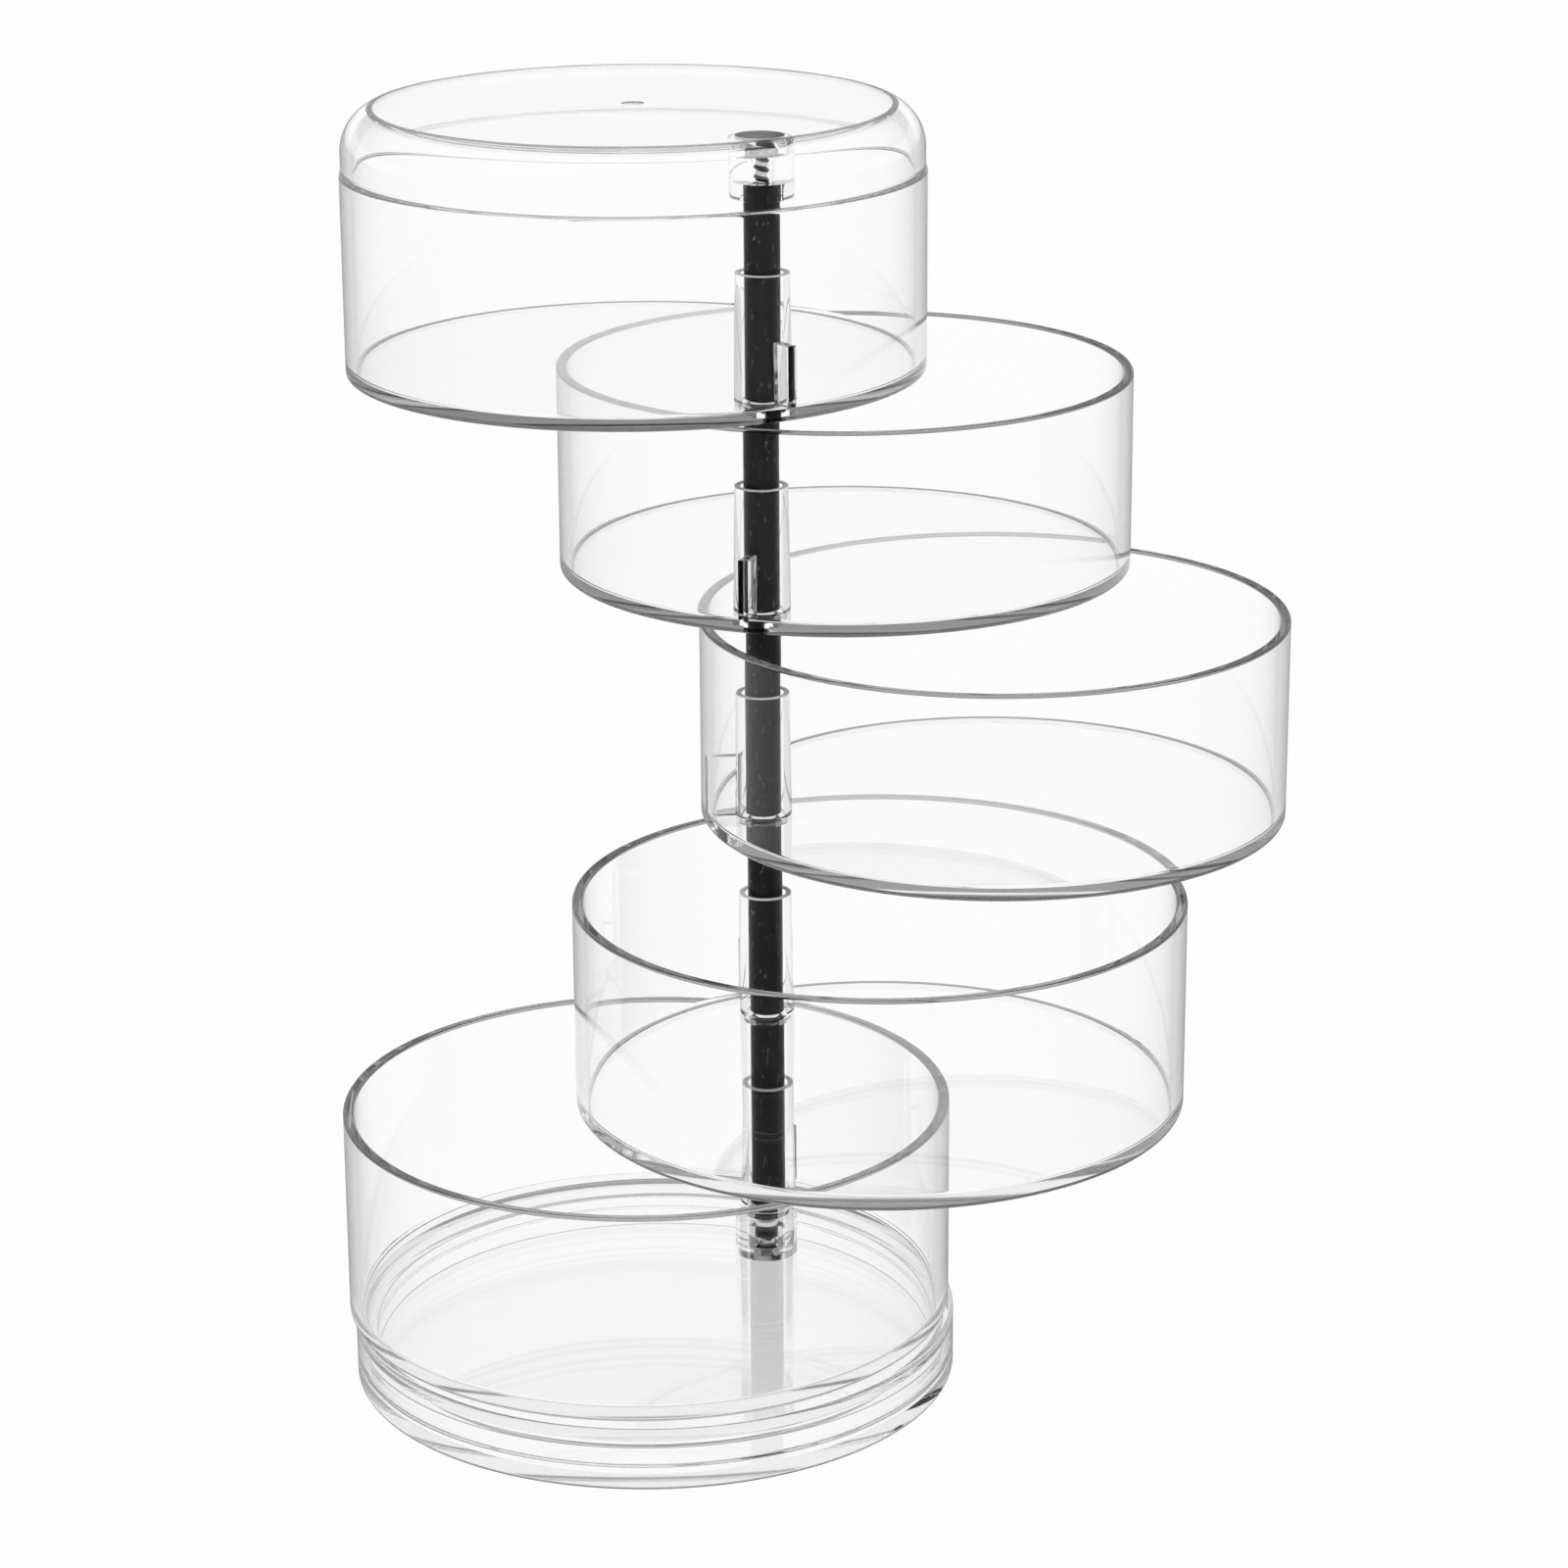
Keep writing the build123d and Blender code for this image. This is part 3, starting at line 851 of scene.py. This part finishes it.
def make_world():
    world = bpy.data.worlds.new("studio")
    bpy.context.scene.world = world
    world.use_nodes = True
    tree = world.node_tree
    tree.nodes.clear()
    direction = tree.nodes.new("ShaderNodeTexCoord")
    split = tree.nodes.new("ShaderNodeSeparateXYZ")
    link(tree, direction.outputs["Generated"], split.inputs["Vector"])
    height = tree.nodes.new("ShaderNodeMapRange")
    height.inputs["From Min"].default_value = -1
    height.inputs["From Max"].default_value = 1
    link(tree, split.outputs["Z"], height.inputs["Value"])
    ramp = tree.nodes.new("ShaderNodeValToRGB")
    set_ramp(ramp, ROOM_LIGHTS)
    link(tree, height.outputs["Result"], ramp.inputs["Fac"])
    room = tree.nodes.new("ShaderNodeBackground")
    link(tree, ramp.outputs["Color"], room.inputs["Color"])
    dark = tree.nodes.new("ShaderNodeBackground")
    dark.inputs["Strength"].default_value = 0
    dimmed = tree.nodes.new("ShaderNodeMixShader")
    link(tree, through_darkness(tree), dimmed.inputs["Fac"])
    link(tree, room.outputs["Background"], dimmed.inputs[1])
    link(tree, dark.outputs["Background"], dimmed.inputs[2])
    white = tree.nodes.new("ShaderNodeBackground")
    white.inputs["Color"].default_value = (1, 1, 1, 1)
    white.inputs["Strength"].default_value = BACKDROP_WHITE
    backdrop = tree.nodes.new("ShaderNodeValToRGB")
    set_ramp(backdrop, BACKDROP_LIGHTS)
    link(tree, height.outputs["Result"], backdrop.inputs["Fac"])
    mix = tree.nodes.new("ShaderNodeMixShader")
    link(tree, background_share(tree, backdrop.outputs["Color"]), mix.inputs["Fac"])
    link(tree, dimmed.outputs["Shader"], mix.inputs[1])
    link(tree, white.outputs["Background"], mix.inputs[2])
    output = tree.nodes.new("ShaderNodeOutputWorld")
    link(tree, mix.outputs["Shader"], output.inputs["Surface"])


def make_floor():
    shape = bmesh.new()
    corners = ((-1, -1), (1, -1), (1, 1), (-1, 1))
    shape.faces.new([shape.verts.new((x * FLOOR_HALF, y * FLOOR_HALF, -FLOOR_DROP)) for x, y in corners])
    floor = new_object("floor", shape)
    material, tree, shader = new_material("floor_white")
    shader.inputs["Base Color"].default_value = (FLOOR_GREY, FLOOR_GREY, FLOOR_GREY, 1)
    shader.inputs["Roughness"].default_value = FLOOR_ROUGHNESS
    shader.inputs["Specular IOR Level"].default_value = FLOOR_SPECULAR
    white = tree.nodes.new("ShaderNodeEmission")
    white.inputs["Color"].default_value = (1, 1, 1, 1)
    share = tree.nodes.new("ShaderNodeMath")
    share.operation = "MULTIPLY"
    share.inputs[1].default_value = FLOOR_WHITE
    link(tree, background_share(tree, FLOOR_REFLECTED), share.inputs[0])
    dark = tree.nodes.new("ShaderNodeEmission")
    dark.inputs["Strength"].default_value = 0
    dimmed = tree.nodes.new("ShaderNodeMixShader")
    link(tree, through_darkness(tree), dimmed.inputs["Fac"])
    link(tree, shader.outputs["BSDF"], dimmed.inputs[1])
    link(tree, dark.outputs["Emission"], dimmed.inputs[2])
    mix = tree.nodes.new("ShaderNodeMixShader")
    link(tree, share.outputs["Value"], mix.inputs["Fac"])
    link(tree, dimmed.outputs["Shader"], mix.inputs[1])
    link(tree, white.outputs["Emission"], mix.inputs[2])
    link(tree, mix.outputs["Shader"], tree.nodes["Material Output"].inputs["Surface"])
    floor.data.materials.append(material)


def make_lamp(name, place, size, watts, target, mirrored):
    lamp = bpy.data.objects.new(name, bpy.data.lights.new(name, "AREA"))
    lamp.data.shape = "RECTANGLE"
    lamp.data.size, lamp.data.size_y = size
    lamp.data.energy = watts
    lamp.visible_camera = False
    lamp.visible_transmission = False
    lamp.visible_glossy = mirrored
    lamp.location = place
    lamp.rotation_mode = "QUATERNION"
    lamp.rotation_quaternion = (Vector(target) - Vector(place)).to_track_quat("-Z", "Y")
    bpy.context.scene.collection.objects.link(lamp)


make_camera()
make_world()
make_floor()
middle = (cad_low + cad_high) / 2
make_lamp("key_lamp", *KEY_LAMP, middle, True)
make_lamp("side_lamp", *SIDE_LAMP, middle, False)

# Clear plastic, with darker copies that paint shade onto outlines and lines
clear = [
    clear_plastic("clear_plastic", PLAIN_TINT),
    clear_plastic("clear_plastic_painted_edge_shade", EDGE_SHADE_TINT),
    matt_plastic(),
    clear_plastic("clear_plastic_painted_line_shade", LINE_SHADE_TINT, DULLED),
]
black = [black_plastic()]
steel = [
    screw_steel("screw_steel", *STEEL_GREYS),
    # A darker steel copy that paints shade onto the thread crests and the head top
    screw_steel("screw_steel_painted_shade", *STEEL_SHADE_GREYS),
]

tray = make_tray()
for number in range(1, TRAY_COUNT + 1):
    node = f"tray_{number}"
    piece = bpy.data.objects.new(node, tray.data.copy())
    bpy.context.scene.collection.objects.link(piece)
    # Painted shade: dark outlines on the rims of trays 2 to 5 and the bottom edges of trays 1 to 4
    if number > 1:
        paint_rim_shade(piece)
    if number < TRAY_COUNT:
        paint_bottom_shade(piece)
    put_round(piece, centre_of(node), tray_underside(number))
    stands_for(piece, node, node, clear)
    rod = make_rod(number)
    put(rod, axle)
    stands_for(rod, f"axle_rod_{number}", "base", black)
bpy.data.objects.remove(tray)

lid = make_lid()
put_round(lid, centre_of("lid"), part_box("lid")[0].z)
stands_for(lid, "lid", "lid", clear)
for node, maker in (("base_top", make_base_top), ("base_bottom", make_base_bottom)):
    piece = maker()
    put_round(piece, centre_of(node), 0)
    stands_for(piece, node, "base", clear)

for node, facing_down in (("lid_screw", False), ("base_screw", True)):
    low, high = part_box(node)
    screw = make_screw(high.z - low.z - HEAD_HEIGHT)
    if facing_down:
        put(screw, (axle.x, axle.y, low.z + HEAD_HEIGHT), pi, "X")
    else:
        put(screw, (axle.x, axle.y, high.z - HEAD_HEIGHT))
    stands_for(screw, node, "base", steel)

# Render behaviour of clear plastic, and the plain colour transform
scene = bpy.context.scene
scene.view_settings.view_transform = "Standard"
scene.cycles.max_bounces = BOUNCES
scene.cycles.transmission_bounces = CLEAR_BOUNCES
scene.cycles.glossy_bounces = CLEAR_BOUNCES
